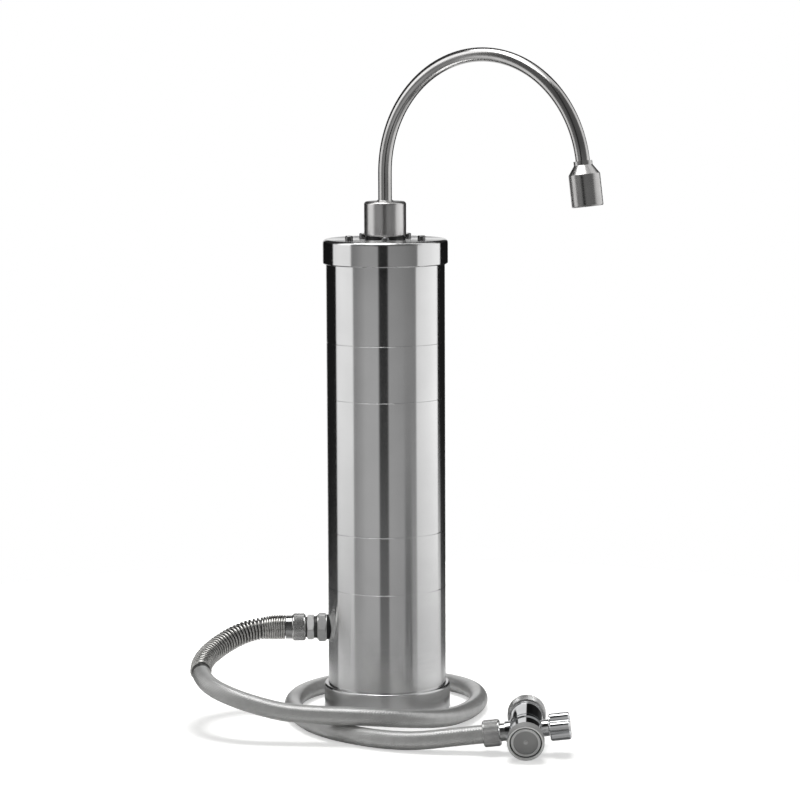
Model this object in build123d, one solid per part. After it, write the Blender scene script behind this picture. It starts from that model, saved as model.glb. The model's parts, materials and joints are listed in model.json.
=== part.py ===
from build123d import *
import os
from math import cos, pi, radians, sin, tan

# Countertop water filter: a stainless housing on a round plinth, with a swivelling gooseneck spout
# on its screwed cap, and an armoured hose that ends in a diverter valve for the kitchen tap.
# Millimetres. Z is up, the origin is the centre of the foot, the front is -Y, the hose leaves at -X.

# Clearances
OVERRUN = 2.0
FIT_GAP = 0.15
FREE_GAP = 0.3
RUN_GAP = 0.06
EDGE_BREAK = 0.5

# Foot and plinth
FOOT_INSET = 4.2
FOOT_T = 3.0
FOOT_RECESS = 2.0
PLINTH_WALL = 3.0
PLINTH_H = 19.0
PLINTH_FLOOR = 6.0
PLINTH_RIM_R = 1.8
PLINTH_SCREW_COUNT = 3
PLINTH_SCREW_INSET = 16.4
PLINTH_SCREW_D = 5.0
PLINTH_SCREW_HEAD_D = 8.5
PLINTH_SCREW_HEAD_H = 3.0
PLINTH_SCREW_GRIP = 4.0

# Housing tube, made of five sections that meet at fine ring seams
TUBE_D = 88.9
TUBE_WALL = 1.6
CUP_FLOOR = 6.0
LOWER_SECTION = 85.2
LOWER_BAND = 43.1
MIDDLE_SECTION = 100.3
UPPER_BAND = 41.7
UPPER_SECTION = 69.2
SEAM_BEVEL = 0.3
SEAM_RING_H = 12.0
SEAM_RING_WALL = 1.4

# Filter cartridge
FLOW_GAP = 9.4
FOOT_RING_INSET = 7.0
FOOT_RING_W = 10.0
FOOT_RING_T = 2.0
CARTRIDGE_CAP_T = 11.0
CARTRIDGE_LIP = 1.4
WRAP_T = 1.0
CORE_D = 23.0
CORE_WALL = 1.5
CARTRIDGE_NECK_D = 23.4
CARTRIDGE_NECK_H = 11.0
CARTRIDGE_NECK_BORE = 14.0
NECK_SEAL_D = 1.8

# Cap, its seal, its screws and the head that hangs under it
CAP_WALL = 2.0
CAP_H = 18.3
CAP_PLATE = 5.8
CAP_EDGE_R = 2.6
CAP_CHAMFER = 0.8
CAP_SEAL_T = 1.5
CAP_SEAL_W = 2.8
CAP_SCREW_COUNT = 5
CAP_SCREW_INSET = 11.8
CAP_SCREW_D = 3.0
CAP_SCREW_HEAD_D = 5.8
CAP_SCREW_HEAD_H = 3.0
CAP_SCREW_SOCKET = 2.5
CAP_SCREW_SOCKET_DEPTH = 1.6
CAP_SCREW_GRIP = 5.0
HEAD_INSET = 2.8
HEAD_T = 8.0
HEAD_GASKET_T = 1.0
HEAD_BOSS_WALL = 4.0
HEAD_BOSS_H = 19.0
COLLAR_D = 30.0
COLLAR_H = 2.2
WASHER_D = 27.0
WASHER_T = 0.6

# Spout: hub with its spigot, tube and nozzle
HUB_D = 31.4
HUB_H = 25.2
HUB_EDGE_R = 2.2
SPIGOT_D = 14.0
SPIGOT_DROP = 23.0
SPIGOT_SEAL_D = 1.6
SPIGOT_SEAL_STEP = 3.4
WATER_BORE = 6.0
CLIP_D = 19.0
CLIP_T = 1.0
CLIP_DEPTH = 1.2
CLIP_MOUTH = 5.0
SPOUT_D = 10.2
SPOUT_WALL = 1.0
SPOUT_SOCKET = 14.0
SPOUT_FOOT_D = 12.6
SPOUT_FOOT_H = 1.0
SPOUT_RISE = 21.3
SPOUT_REACH_R = 86.6
SPOUT_SWEEP = 172.4
SPOUT_YAW = -35.9
NOZZLE_COLLAR_D = 13.4
NOZZLE_COLLAR_H = 3.0
NOZZLE_CONE_H = 6.6
NOZZLE_D = 22.5
NOZZLE_BARREL_H = 22.6
NOZZLE_SOCKET = 8.0
NOZZLE_MOUTH_D = 18.6
NOZZLE_MOUTH_DEPTH = 15.0
NOZZLE_LIP = 1.2
AERATOR_H = 9.0
AERATOR_DISH_D = 15.0
AERATOR_DISH_DEPTH = 0.8
NOZZLE_WASHER_T = 2.0
NOZZLE_WASHER_W = 3.0

# Inlet fitting, measured outwards from the housing wall
INLET_H = 62.0
INLET_GASKET_D = 18.6
INLET_GASKET_T = 1.1
INLET_THREAD_D = 13.0
INLET_THREAD_IN = 8.5
INLET_BORE = 7.0
LOCK_NUT_AF = 17.0
LOCK_NUT_T = 4.5
NIPPLE_FLANGE_T = 0.6
NIPPLE_FLANGE_D = 19.6
NIPPLE_AF = 19.8
NIPPLE_HEX_H = 5.8
NIPPLE_COLLAR_D = 17.6
NIPPLE_COLLAR_H = 0.8
ADAPTER_NECK_D = 16.4
ADAPTER_NECK_H = 1.9
ADAPTER_AF = 17.2
ADAPTER_HEX_H = 5.1
ADAPTER_COLLAR_D = 15.4
ADAPTER_COLLAR_H = 1.2
ADAPTER_THREAD_D = 14.4
ADAPTER_THREAD_H = 6.0
HOSE_TAIL_D = 10.0
HOSE_NUT_D = 19.8
HOSE_NUT_H = 10.0
NUT_CHAMFER = 0.7
HOSE_SLEEVE_D = 17.8
HOSE_SLEEVE_H = 4.9

# Hose and the wound bend guard over its first stretch
HOSE_D = 13.4
HOSE_BORE = 7.0
GUARD_WIRE_D = 1.4
GUARD_D = 16.9
GUARD_CLOSE_TURNS = 8
GUARD_CLOSE_STEP = 2.2
GUARD_OPEN_TURNS = 27
GUARD_OPEN_STEP = 2.9
ARC_RUN_SHARE = 0.45
BEND_STEPS_PER_TURN = 4

# Diverter valve: where its outlet face stands and how the body lies, then its sizes.
# Its own Z runs from the outlet back to the tap nut, its own X from the hose port to the knob.
VALVE_X = 96.6
VALVE_Y = -169.0
VALVE_TILT = 9.0
VALVE_TURN = 3.7
VALVE_ROLL = 6.7
OUTLET_D = 26.2
OUTLET_H = 8.2
OUTLET_LIP_D = 22.8
OUTLET_LIP_T = 1.8
OUTLET_BORE_D = 24.0
OUTLET_CHAMFER = 0.5
DISC_T = 2.8
DISC_INSET = 1.0
DISC_RIM_D = 20.8
DISC_RIM_W = 1.7
DISC_DISH = 0.7
DISC_NUB_D = 2.2
OUTLET_SEAL_T = 0.8
BARREL_D = 24.2
BARREL_H = 38.5
BAND_D = 25.6
BAND_RIB = 2.1
BAND_STEP = 3.6
BAND_RISE = 11.8
VALVE_BORE = 11.0
PORT_RISE = 16.6
PORT_FLARE_D = 15.6
PORT_D = 15.0
PORT_REACH = 14.6
PORT_NECK_D = 12.8
PORT_NECK_H = 6.0
PORT_BORE = 7.0
VALVE_NUT_D = 18.6
VALVE_NUT_H = 12.2
VALVE_NUT_RECESS = 3.0
NUT_GRIP = 2.2
TAP_NECK_D = 16.2
TAP_NECK_H = 3.0
TAP_COLLAR_D = 19.6
TAP_COLLAR_H = 1.6
TAP_NUT_D = 27.0
TAP_NUT_H = 10.6
TAP_NUT_FLANGE_T = 2.3
TAP_THREAD_D = 21.0
TAP_RELIEF = 0.4
TAP_WASHER_T = 1.6
TAP_WASHER_W = 3.6
BUSH_D = 12.0
BUSH_REACH = 16.4
BUSH_IN = 4.0
STEM_D = 6.0
STEM_IN = 3.0
STEM_GRIP = 8.0
KNOB_GAP = 0.4
KNOB_H = 14.6
KNOB_LOBES = 5
KNOB_PHASE = 14.0
KNOB_CORE_D = 13.2
KNOB_LOBE_D = 7.6
KNOB_LOBE_OUT = 6.2
KNOB_EDGE_R = 0.9

# Route of the hose between its two fittings, as laid by hand on the table
HOSE_LAY = [
    (-93.0, 0.0, 62.0),
    (-110.6, -5.1, 58.4),
    (-127.0, -19.0, 51.2),
    (-136.2, -38.6, 45.2),
    (-137.0, -61.0, 40.6),
    (-129.6, -82.0, 35.8),
    (-114.0, -97.6, 31.2),
    (-95.8, -105.4, 26.6),
    (-73.0, -109.4, 22.6),
    (-46.0, -112.4, 21.6),
    (-15.0, -114.6, 21.7),
    (15.0, -108.4, 16.4),
    (42.6, -83.4, 10.4),
    (61.4, -45.0, 7.4),
    (71.6, -5.0, 7.0),
    (64.4, 34.6, 7.0),
    (37.0, 61.6, 7.0),
    (-1.0, 68.6, 7.0),
    (-38.4, 55.4, 7.0),
    (-63.6, 25.6, 7.0),
    (-72.4, -12.0, 7.0),
    (-66.0, -49.0, 7.0),
    (-47.6, -86.4, 7.0),
    (-15.6, -119.0, 7.0),
    (17.0, -133.8, 7.4),
]
HOSE_LEAD = 27.0

STAND = (Align.CENTER, Align.CENTER, Align.MIN)

# Radii and heights that follow from the sizes above
tube_r = TUBE_D / 2
bore_r = tube_r - TUBE_WALL
socket_r = tube_r + FIT_GAP
plinth_r = socket_r + PLINTH_WALL
foot_r = plinth_r - FOOT_INSET
plinth_screw_r = tube_r - PLINTH_SCREW_INSET
skirt_r = tube_r + FREE_GAP
cap_r = skirt_r + CAP_WALL
head_r = bore_r - HEAD_INSET
cap_screw_r = head_r - CAP_SCREW_INSET
cartridge_r = bore_r - FLOW_GAP
lip_r = cartridge_r - CARTRIDGE_LIP
wrap_r = lip_r - FIT_GAP
block_r = wrap_r - WRAP_T
plinth_bottom = FOOT_T - FOOT_RECESS
plinth_top = plinth_bottom + PLINTH_H
floor_top = FOOT_T + PLINTH_FLOOR
cup_top = floor_top + CUP_FLOOR
SECTIONS = {
    "lower_housing": LOWER_SECTION,
    "lower_band": LOWER_BAND,
    "middle_housing": MIDDLE_SECTION,
    "upper_band": UPPER_BAND,
    "upper_housing": UPPER_SECTION,
}
tube_top = floor_top + sum(SECTIONS.values())
cap_under = tube_top + CAP_SEAL_T
cap_top = cap_under + CAP_PLATE
cap_bottom = cap_top - CAP_H
head_top = cap_under - HEAD_GASKET_T
head_bottom = head_top - HEAD_T
boss_bottom = head_bottom - HEAD_BOSS_H
boss_bore_r = CARTRIDGE_NECK_D / 2 + FREE_GAP
spigot_r = SPIGOT_D / 2
collar_top = cap_top + COLLAR_H
hub_bottom = collar_top + WASHER_T
hub_top = hub_bottom + HUB_H
spigot_bottom = hub_bottom - SPIGOT_DROP
cartridge_low = cup_top + FOOT_RING_T
cartridge_high = boss_bottom - FREE_GAP
block_low = cartridge_low + CARTRIDGE_CAP_T
block_high = cartridge_high - CARTRIDGE_CAP_T
nipple_out = INLET_GASKET_T + 2 * NIPPLE_FLANGE_T + NIPPLE_HEX_H + NIPPLE_COLLAR_H
adapter_out = nipple_out + ADAPTER_NECK_H + ADAPTER_HEX_H + ADAPTER_COLLAR_H
sleeve_foot = adapter_out + HOSE_NUT_H
sleeve_out = sleeve_foot + HOSE_SLEEVE_H

# Frames of the inlet and of the valve, each with its Z along the piece's own axis
inlet_frame = Plane(origin=(-tube_r, 0, INLET_H), x_dir=(0, 1, 0), z_dir=(-1, 0, 0))
valve_tilt = radians(VALVE_TILT)
valve_turn = radians(VALVE_TURN)
valve_roll = radians(VALVE_ROLL)
valve_back = Vector(sin(valve_turn) * cos(valve_tilt), cos(valve_turn) * cos(valve_tilt), sin(valve_tilt))
valve_level = Vector(cos(valve_turn), -sin(valve_turn), 0)
valve_across = valve_level * cos(valve_roll) + valve_level.cross(valve_back) * sin(valve_roll)
valve_foot = Vector(VALVE_X, VALVE_Y, OUTLET_D / 2 * cos(valve_tilt) + FIT_GAP)
valve_frame = Plane(origin=valve_foot, x_dir=valve_across, z_dir=valve_back)
port_z = OUTLET_H + PORT_RISE
hose_side = Plane(
    origin=valve_frame.from_local_coords((0, 0, port_z)), x_dir=valve_back, z_dir=-valve_across
)
knob_side = Plane(
    origin=valve_frame.from_local_coords((0, 0, port_z)), x_dir=valve_back, z_dir=valve_across
)
neck_out = PORT_REACH + PORT_NECK_H
valve_nut_foot = neck_out - NUT_GRIP
hose_end = valve_nut_foot + VALVE_NUT_H - VALVE_NUT_RECESS


def cylinder(radius, low, high):
    """Cylinder on the Z axis between two heights."""
    return Pos(0, 0, low) * Cylinder(radius, high - low, align=STAND)


def ring(outer_r, inner_r, low, high):
    """Ring on the Z axis between two heights."""
    return cylinder(outer_r, low, high) - cylinder(inner_r, low - OVERRUN, high + OVERRUN)


def turned(*outline):
    """Solid of revolution about Z from its closed (radius, height) outline."""
    points = [(radius, 0, height) for radius, height in outline]
    return revolve(make_face(Polyline(*points, close=True)), axis=Axis.Z)


def hexagon(across_flats, low, high):
    """Hexagonal prism on the Z axis with a corner on the X axis."""
    outline = RegularPolygon(across_flats / 2, 6, major_radius=False)
    return extrude(Pos(0, 0, low) * outline, amount=high - low)


def chamfered_hexagon(across_flats, low, high):
    """Hexagonal prism whose corners are turned down at both ends, as a bar-turned fitting is."""
    turned_r = across_flats / 2
    rise = NUT_CHAMFER
    blank = turned(
        (0, low),
        (turned_r, low),
        (turned_r + 2 * rise, low + rise),
        (turned_r + 2 * rise, high - rise),
        (turned_r, high),
        (0, high),
    )
    return hexagon(across_flats, low, high) & blank


def knurl_blank(outer_r, low, high):
    """Round nut with both rims chamfered, ready for its knurl."""
    return turned(
        (0, low),
        (outer_r - NUT_CHAMFER, low),
        (outer_r, low + NUT_CHAMFER),
        (outer_r, high - NUT_CHAMFER),
        (outer_r - NUT_CHAMFER, high),
        (0, high),
    )


def rim(solid, height):
    """Largest circular edge of a solid at one height."""
    circles = solid.edges().filter_by(GeomType.CIRCLE)
    at_height = circles.filter_by(lambda edge: abs(edge.arc_center.Z - height) < EDGE_BREAK / 10)
    return at_height.sort_by(SortBy.RADIUS)[-1]


def foot_pad():
    """Rubber disc that the filter stands on."""
    return cylinder(foot_r, 0, FOOT_T)


def base_plinth():
    """Turned plinth: a recess for the foot below and a socket for the housing above."""
    recess_r = foot_r + FIT_GAP
    plinth = turned(
        (0, FOOT_T),
        (recess_r, FOOT_T),
        (recess_r, plinth_bottom),
        (plinth_r, plinth_bottom),
        (plinth_r, plinth_top),
        (socket_r, plinth_top),
        (socket_r, floor_top),
        (0, floor_top),
    )
    plinth = fillet(rim(plinth, plinth_top), PLINTH_RIM_R)
    plinth = chamfer(rim(plinth, plinth_bottom), EDGE_BREAK)
    for place in PolarLocations(plinth_screw_r, PLINTH_SCREW_COUNT):
        head = cylinder(
            PLINTH_SCREW_HEAD_D / 2 + FIT_GAP, FOOT_T - OVERRUN, FOOT_T + PLINTH_SCREW_HEAD_H
        )
        shank = cylinder(PLINTH_SCREW_D / 2 + FIT_GAP, FOOT_T, floor_top + OVERRUN)
        plinth -= place * (head + shank)
    return plinth


def plinth_screws():
    """Screws that hold the plinth to the floor of the housing, hidden by the foot."""
    head_top = FOOT_T + PLINTH_SCREW_HEAD_H
    screw = cylinder(PLINTH_SCREW_HEAD_D / 2, FOOT_T, head_top)
    screw += cylinder(PLINTH_SCREW_D / 2, head_top, floor_top + PLINTH_SCREW_GRIP)
    places = PolarLocations(plinth_screw_r, PLINTH_SCREW_COUNT)
    return Compound(children=[place * screw for place in places])


def tube_section(low, high):
    """One section of the housing tube, with the bevels that draw its seams."""
    return turned(
        (bore_r, low),
        (tube_r - SEAM_BEVEL, low),
        (tube_r, low + SEAM_BEVEL),
        (tube_r, high - SEAM_BEVEL),
        (tube_r - SEAM_BEVEL, high),
        (bore_r, high),
    )


def lower_housing(low, high):
    """Bottom section: its floor stands in the plinth, and the inlet passes through its wall."""
    cup = tube_section(low, high) + cylinder(bore_r, low, cup_top)
    cup -= inlet_frame * cylinder(INLET_THREAD_D / 2 + FIT_GAP, -2 * TUBE_WALL, OVERRUN)
    for place in PolarLocations(plinth_screw_r, PLINTH_SCREW_COUNT):
        depth = PLINTH_SCREW_GRIP + EDGE_BREAK
        cup -= place * cylinder(PLINTH_SCREW_D / 2 + FIT_GAP, low - OVERRUN, low + depth)
    return cup


def housing_sections():
    """The five tube sections by name, stacked from the plinth's floor."""
    sections = {}
    low = floor_top
    for name, length in SECTIONS.items():
        make = lower_housing if name == "lower_housing" else tube_section
        sections[name] = make(low, low + length)
        low += length
    return sections


def seam_rings():
    """Backing rings inside the housing, one behind each seam."""
    outer_r = bore_r - FIT_GAP
    rings = []
    seam = floor_top
    for length in list(SECTIONS.values())[:-1]:
        seam += length
        low = seam - SEAM_RING_H / 2
        rings.append(ring(outer_r, outer_r - SEAM_RING_WALL, low, low + SEAM_RING_H))
    return Compound(children=rings)


def cartridge_cap(low, high, lip_low, lip_high):
    """End cap of the cartridge: a disc, and a lip that reaches over the wrapped block."""
    return cylinder(cartridge_r, low, high) + ring(cartridge_r, lip_r, lip_low, lip_high)


def cartridge_parts():
    """Cartridge: block, wrap and core between two end caps, on a rubber ring, with a sealed neck."""
    lip = CARTRIDGE_CAP_T / 2
    ring_r = cartridge_r - FOOT_RING_INSET
    neck_r = CARTRIDGE_NECK_D / 2
    groove_r = neck_r - NECK_SEAL_D
    neck_top = cartridge_high + CARTRIDGE_NECK_H
    groove_low = neck_top - 3 * NECK_SEAL_D
    upper = cartridge_cap(block_high, cartridge_high, block_high - lip, block_high)
    lower = cartridge_cap(cartridge_low, block_low, block_low, block_low + lip)
    upper += cylinder(neck_r, cartridge_high, neck_top)
    upper -= ring(neck_r + OVERRUN, groove_r, groove_low, groove_low + NECK_SEAL_D + FREE_GAP)
    upper -= cylinder(CARTRIDGE_NECK_BORE / 2, block_high - OVERRUN, neck_top + OVERRUN)
    seal = Torus(boss_bore_r - RUN_GAP - NECK_SEAL_D / 2, NECK_SEAL_D / 2)
    core_r = CORE_D / 2
    return {
        "cartridge_foot_ring": ring(ring_r, ring_r - FOOT_RING_W, cup_top, cartridge_low),
        "cartridge_lower_cap": lower,
        "cartridge_core": ring(core_r, core_r - CORE_WALL, block_low, block_high),
        "cartridge_block": ring(block_r, core_r + FIT_GAP, block_low, block_high),
        "cartridge_wrap": ring(wrap_r, block_r + RUN_GAP, block_low, block_high),
        "cartridge_upper_cap": upper,
        "cartridge_neck_seal": Pos(0, 0, groove_low + NECK_SEAL_D / 2 + FIT_GAP) * seal,
    }


def cap_places():
    """Places of the cap screws, the first at the front."""
    return PolarLocations(cap_screw_r, CAP_SCREW_COUNT, start_angle=-90)


def cap():
    """Cap: a top plate with a skirt that reaches down over the housing."""
    hole_r = spigot_r + FREE_GAP
    shell = turned(
        (hole_r, cap_under),
        (skirt_r, cap_under),
        (skirt_r, cap_bottom),
        (cap_r, cap_bottom),
        (cap_r, cap_top),
        (hole_r, cap_top),
    )
    shell = fillet(rim(shell, cap_top), CAP_EDGE_R)
    shell = chamfer(rim(shell, cap_bottom), CAP_CHAMFER)
    for place in cap_places():
        shell -= place * cylinder(CAP_SCREW_D / 2 + FIT_GAP, cap_under - OVERRUN, cap_top + OVERRUN)
    return shell


def cap_screws():
    """Socket-head screws that clamp the head against the underside of the cap."""
    head_high = cap_top + CAP_SCREW_HEAD_H
    head = cylinder(CAP_SCREW_HEAD_D / 2, cap_top, head_high)
    head = chamfer(rim(head, head_high), EDGE_BREAK)
    socket = hexagon(CAP_SCREW_SOCKET, head_high - CAP_SCREW_SOCKET_DEPTH, head_high + OVERRUN)
    screw = head - socket + cylinder(CAP_SCREW_D / 2, head_top - CAP_SCREW_GRIP, cap_top)
    return Compound(children=[place * screw for place in cap_places()])


def head_gasket():
    """Gasket between the head and the cap."""
    gasket = ring(head_r, spigot_r + FREE_GAP, head_top, cap_under)
    for place in cap_places():
        gasket -= place * cylinder(CAP_SCREW_D / 2 + FIT_GAP, head_top - OVERRUN, cap_under + OVERRUN)
    return gasket


def head_plate():
    """Head: carries the spout's spigot, and its boss takes the neck of the cartridge."""
    bearing_r = spigot_r + RUN_GAP
    boss_r = boss_bore_r + HEAD_BOSS_WALL
    head = turned(
        (bearing_r, head_top),
        (head_r, head_top),
        (head_r, head_bottom),
        (boss_r, head_bottom),
        (boss_r, boss_bottom),
        (boss_bore_r, boss_bottom),
        (boss_bore_r, head_bottom),
        (bearing_r, head_bottom),
    )
    for place in cap_places():
        low = head_top - CAP_SCREW_GRIP - EDGE_BREAK
        head -= place * cylinder(CAP_SCREW_D / 2 + FIT_GAP, low, head_top + OVERRUN)
    return head


def cap_collar():
    """Bearing collar that stands on the cap under the hub."""
    collar = ring(COLLAR_D / 2, spigot_r + RUN_GAP, cap_top, collar_top)
    return chamfer(rim(collar, collar_top), EDGE_BREAK)


def seal_heights():
    """Middle heights of the two ring seals on the spigot, inside the head's bearing."""
    middle = (head_top + head_bottom) / 2
    return middle - SPIGOT_SEAL_STEP / 2, middle + SPIGOT_SEAL_STEP / 2


def spout_hub():
    """Hub of the spout, with the spigot that turns in the head and the socket for the tube."""
    socket_r = SPOUT_D / 2 + FIT_GAP
    socket_low = hub_top - SPOUT_SOCKET
    cone_top = hub_top + SPOUT_FOOT_H
    hub = turned(
        (WATER_BORE / 2, spigot_bottom),
        (spigot_r, spigot_bottom),
        (spigot_r, hub_bottom),
        (HUB_D / 2, hub_bottom),
        (HUB_D / 2, hub_top),
        (SPOUT_FOOT_D / 2, hub_top),
        (socket_r + EDGE_BREAK, cone_top),
        (socket_r, cone_top),
        (socket_r, socket_low),
        (WATER_BORE / 2, socket_low),
    )
    hub = fillet(rim(hub, hub_top), HUB_EDGE_R)
    hub = chamfer(rim(hub, hub_bottom), EDGE_BREAK)
    half = SPIGOT_SEAL_D / 2 + FIT_GAP
    groove_r = spigot_r - SPIGOT_SEAL_D - RUN_GAP
    for height in seal_heights():
        hub -= ring(spigot_r + OVERRUN, groove_r, height - half, height + half)
    clip_high = head_bottom - FIT_GAP
    hub -= ring(spigot_r + OVERRUN, spigot_r - CLIP_DEPTH, clip_high - CLIP_T - FIT_GAP, clip_high)
    return hub


def spigot_seals():
    """Ring seals in the grooves of the spigot."""
    seal = Torus(spigot_r - SPIGOT_SEAL_D / 2 - RUN_GAP / 2, SPIGOT_SEAL_D / 2)
    return Compound(children=[Pos(0, 0, height) * seal for height in seal_heights()])


def spigot_clip():
    """Open clip that keeps the spigot from lifting out of the head."""
    high = head_bottom - FIT_GAP
    low = high - CLIP_T
    clip = ring(CLIP_D / 2, spigot_r - CLIP_DEPTH + FIT_GAP, low, high)
    mouth = Pos(0, CLIP_D / 2, low - OVERRUN) * Box(
        CLIP_MOUTH, CLIP_D, CLIP_T + 2 * OVERRUN, align=STAND
    )
    return clip - mouth


def spout_line():
    """Centre line of the spout tube, in the plane that the spout points along."""
    rise = Line((0, hub_top - SPOUT_SOCKET), (0, hub_top + SPOUT_RISE))
    bow = JernArc(rise @ 1, rise % 1, SPOUT_REACH_R, -SPOUT_SWEEP)
    tail = Line(bow @ 1, (bow @ 1) + (bow % 1) * NOZZLE_SOCKET)
    return Rot(0, 0, SPOUT_YAW) * (Plane.XZ * (rise + bow + tail))


def spout_tube():
    """Gooseneck tube from the hub to the nozzle."""
    wall = Circle(SPOUT_D / 2) - Circle(SPOUT_D / 2 - SPOUT_WALL)
    return sweep(Pos(0, 0, hub_top - SPOUT_SOCKET) * wall, path=spout_line())


def nozzle_parts():
    """Nozzle, its washer and its aerator, standing on the end of the spout tube."""
    line = spout_line()
    flow = line % 1
    frame = Plane(origin=(line @ 1) - flow * NOZZLE_SOCKET, z_dir=flow)
    length = NOZZLE_COLLAR_H + NOZZLE_CONE_H + NOZZLE_BARREL_H
    socket_r = SPOUT_D / 2 + FIT_GAP
    mouth_r = NOZZLE_MOUTH_D / 2
    mouth_low = length - NOZZLE_MOUTH_DEPTH
    nozzle = turned(
        (socket_r, 0),
        (NOZZLE_COLLAR_D / 2, 0),
        (NOZZLE_COLLAR_D / 2, NOZZLE_COLLAR_H),
        (NOZZLE_D / 2, NOZZLE_COLLAR_H + NOZZLE_CONE_H),
        (NOZZLE_D / 2, length - EDGE_BREAK),
        (NOZZLE_D / 2 - EDGE_BREAK, length),
        (mouth_r, length),
        (mouth_r, mouth_low),
        (WATER_BORE / 2, mouth_low),
        (WATER_BORE / 2, NOZZLE_SOCKET),
        (socket_r, NOZZLE_SOCKET),
    )
    insert_r = mouth_r - FIT_GAP
    face = length - NOZZLE_LIP
    dish = cylinder(AERATOR_DISH_D / 2, face - AERATOR_DISH_DEPTH, face + OVERRUN)
    insert = cylinder(insert_r, face - AERATOR_H, face) - dish
    seat = face - AERATOR_H
    washer = ring(insert_r, insert_r - NOZZLE_WASHER_W, seat - NOZZLE_WASHER_T, seat)
    return {
        "nozzle": frame * nozzle,
        "nozzle_aerator": frame * insert,
        "nozzle_washer": frame * washer,
    }


def inlet_parts():
    """Inlet fitting: gasket, nipple and lock nut at the wall, then adapter, nut and sleeve."""
    thread_r = INLET_THREAD_D / 2
    gasket = inlet_frame * cylinder(INLET_GASKET_D / 2, -INLET_GASKET_D / 2, INLET_GASKET_T)
    gasket -= cylinder(tube_r, 0, tube_top)
    gasket -= inlet_frame * cylinder(thread_r + FIT_GAP, -INLET_GASKET_D, INLET_GASKET_T + OVERRUN)
    corner_r = LOCK_NUT_AF / 2 / cos(pi / 6)
    nut_out = (bore_r**2 - corner_r**2) ** (1 / 2) - FIT_GAP
    nut_high = nut_out - tube_r
    lock_nut = chamfered_hexagon(LOCK_NUT_AF, nut_high - LOCK_NUT_T, nut_high)
    lock_nut -= cylinder(thread_r + FIT_GAP, nut_high - LOCK_NUT_T - OVERRUN, nut_high + OVERRUN)
    hex_low = INLET_GASKET_T + NIPPLE_FLANGE_T
    hex_high = hex_low + NIPPLE_HEX_H
    nipple = cylinder(thread_r, -INLET_THREAD_IN, INLET_GASKET_T)
    nipple += cylinder(NIPPLE_FLANGE_D / 2, INLET_GASKET_T, hex_low)
    nipple += chamfered_hexagon(NIPPLE_AF, hex_low, hex_high)
    nipple += cylinder(NIPPLE_FLANGE_D / 2, hex_high, hex_high + NIPPLE_FLANGE_T)
    nipple += cylinder(NIPPLE_COLLAR_D / 2, hex_high + NIPPLE_FLANGE_T, nipple_out)
    nipple -= cylinder(INLET_BORE / 2, -INLET_THREAD_IN - OVERRUN, nipple_out + OVERRUN)
    neck_high = nipple_out + ADAPTER_NECK_H
    wrench_high = neck_high + ADAPTER_HEX_H
    thread_high = adapter_out + ADAPTER_THREAD_H
    adapter = cylinder(ADAPTER_NECK_D / 2, nipple_out, neck_high)
    adapter += chamfered_hexagon(ADAPTER_AF, neck_high, wrench_high)
    adapter += cylinder(ADAPTER_COLLAR_D / 2, wrench_high, adapter_out)
    adapter += cylinder(ADAPTER_THREAD_D / 2, adapter_out, thread_high)
    adapter += cylinder(HOSE_TAIL_D / 2, thread_high, sleeve_out)
    adapter -= cylinder(INLET_BORE / 2, nipple_out - OVERRUN, sleeve_out + OVERRUN)
    tail_hole_r = HOSE_TAIL_D / 2 + FIT_GAP
    nut = knurl_blank(HOSE_NUT_D / 2, adapter_out, sleeve_foot)
    nut -= cylinder(tail_hole_r, adapter_out - OVERRUN, sleeve_foot + OVERRUN)
    nut -= cylinder(ADAPTER_THREAD_D / 2 + FIT_GAP, adapter_out - OVERRUN, thread_high + FIT_GAP)
    sleeve = ring(HOSE_SLEEVE_D / 2, tail_hole_r, sleeve_foot, sleeve_out)
    placed = {"inlet_gasket": gasket}
    fittings = {
        "inlet_lock_nut": lock_nut,
        "inlet_nipple": nipple,
        "hose_adapter": adapter,
        "hose_nut": nut,
        "hose_sleeve": sleeve,
    }
    for name, fitting in fittings.items():
        placed[name] = inlet_frame * fitting
    return placed


def hose_points():
    """Corners of the hose's route, from the inlet sleeve to the nut on the valve."""
    start = inlet_frame.from_local_coords((0, 0, sleeve_out))
    lead = hose_side.from_local_coords((0, 0, hose_end + HOSE_LEAD))
    end = hose_side.from_local_coords((0, 0, hose_end))
    return [start, *[Vector(*point) for point in HOSE_LAY], lead, end]


def corner_radii(points):
    """Largest arc that each corner's two runs leave room for."""
    radii = []
    for before, corner, after in zip(points, points[1:], points[2:]):
        turn = radians((corner - before).get_angle(after - corner))
        shorter = min((corner - before).length, (after - corner).length)
        radii.append(ARC_RUN_SHARE * shorter / tan(turn / 2))
    return radii


def hose_line():
    """Centre line of the hose: straight runs joined by tangent arcs."""
    points = hose_points()
    return FilletPolyline(*points, radius=corner_radii(points))


def hose(line):
    """Hose, laid from the inlet round the plinth and over itself to the valve."""
    wall = Circle(HOSE_D / 2) - Circle(HOSE_BORE / 2)
    return sweep(Plane(origin=line @ 0, z_dir=line % 0) * wall, path=line)


def guard_point(line, turn):
    """Point of the bend guard's wire after a number of turns, wound round the hose's line."""
    close = min(turn, GUARD_CLOSE_TURNS)
    along = GUARD_WIRE_D + close * GUARD_CLOSE_STEP + (turn - close) * GUARD_OPEN_STEP
    at = line.position_at(along / line.length)
    ahead = line.tangent_at(along / line.length)
    side = Vector(0, 0, 1).cross(ahead).normalized()
    over = ahead.cross(side)
    coil_r = (GUARD_D - GUARD_WIRE_D) / 2
    return at + (over * cos(2 * pi * turn) + side * sin(2 * pi * turn)) * coil_r


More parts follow.
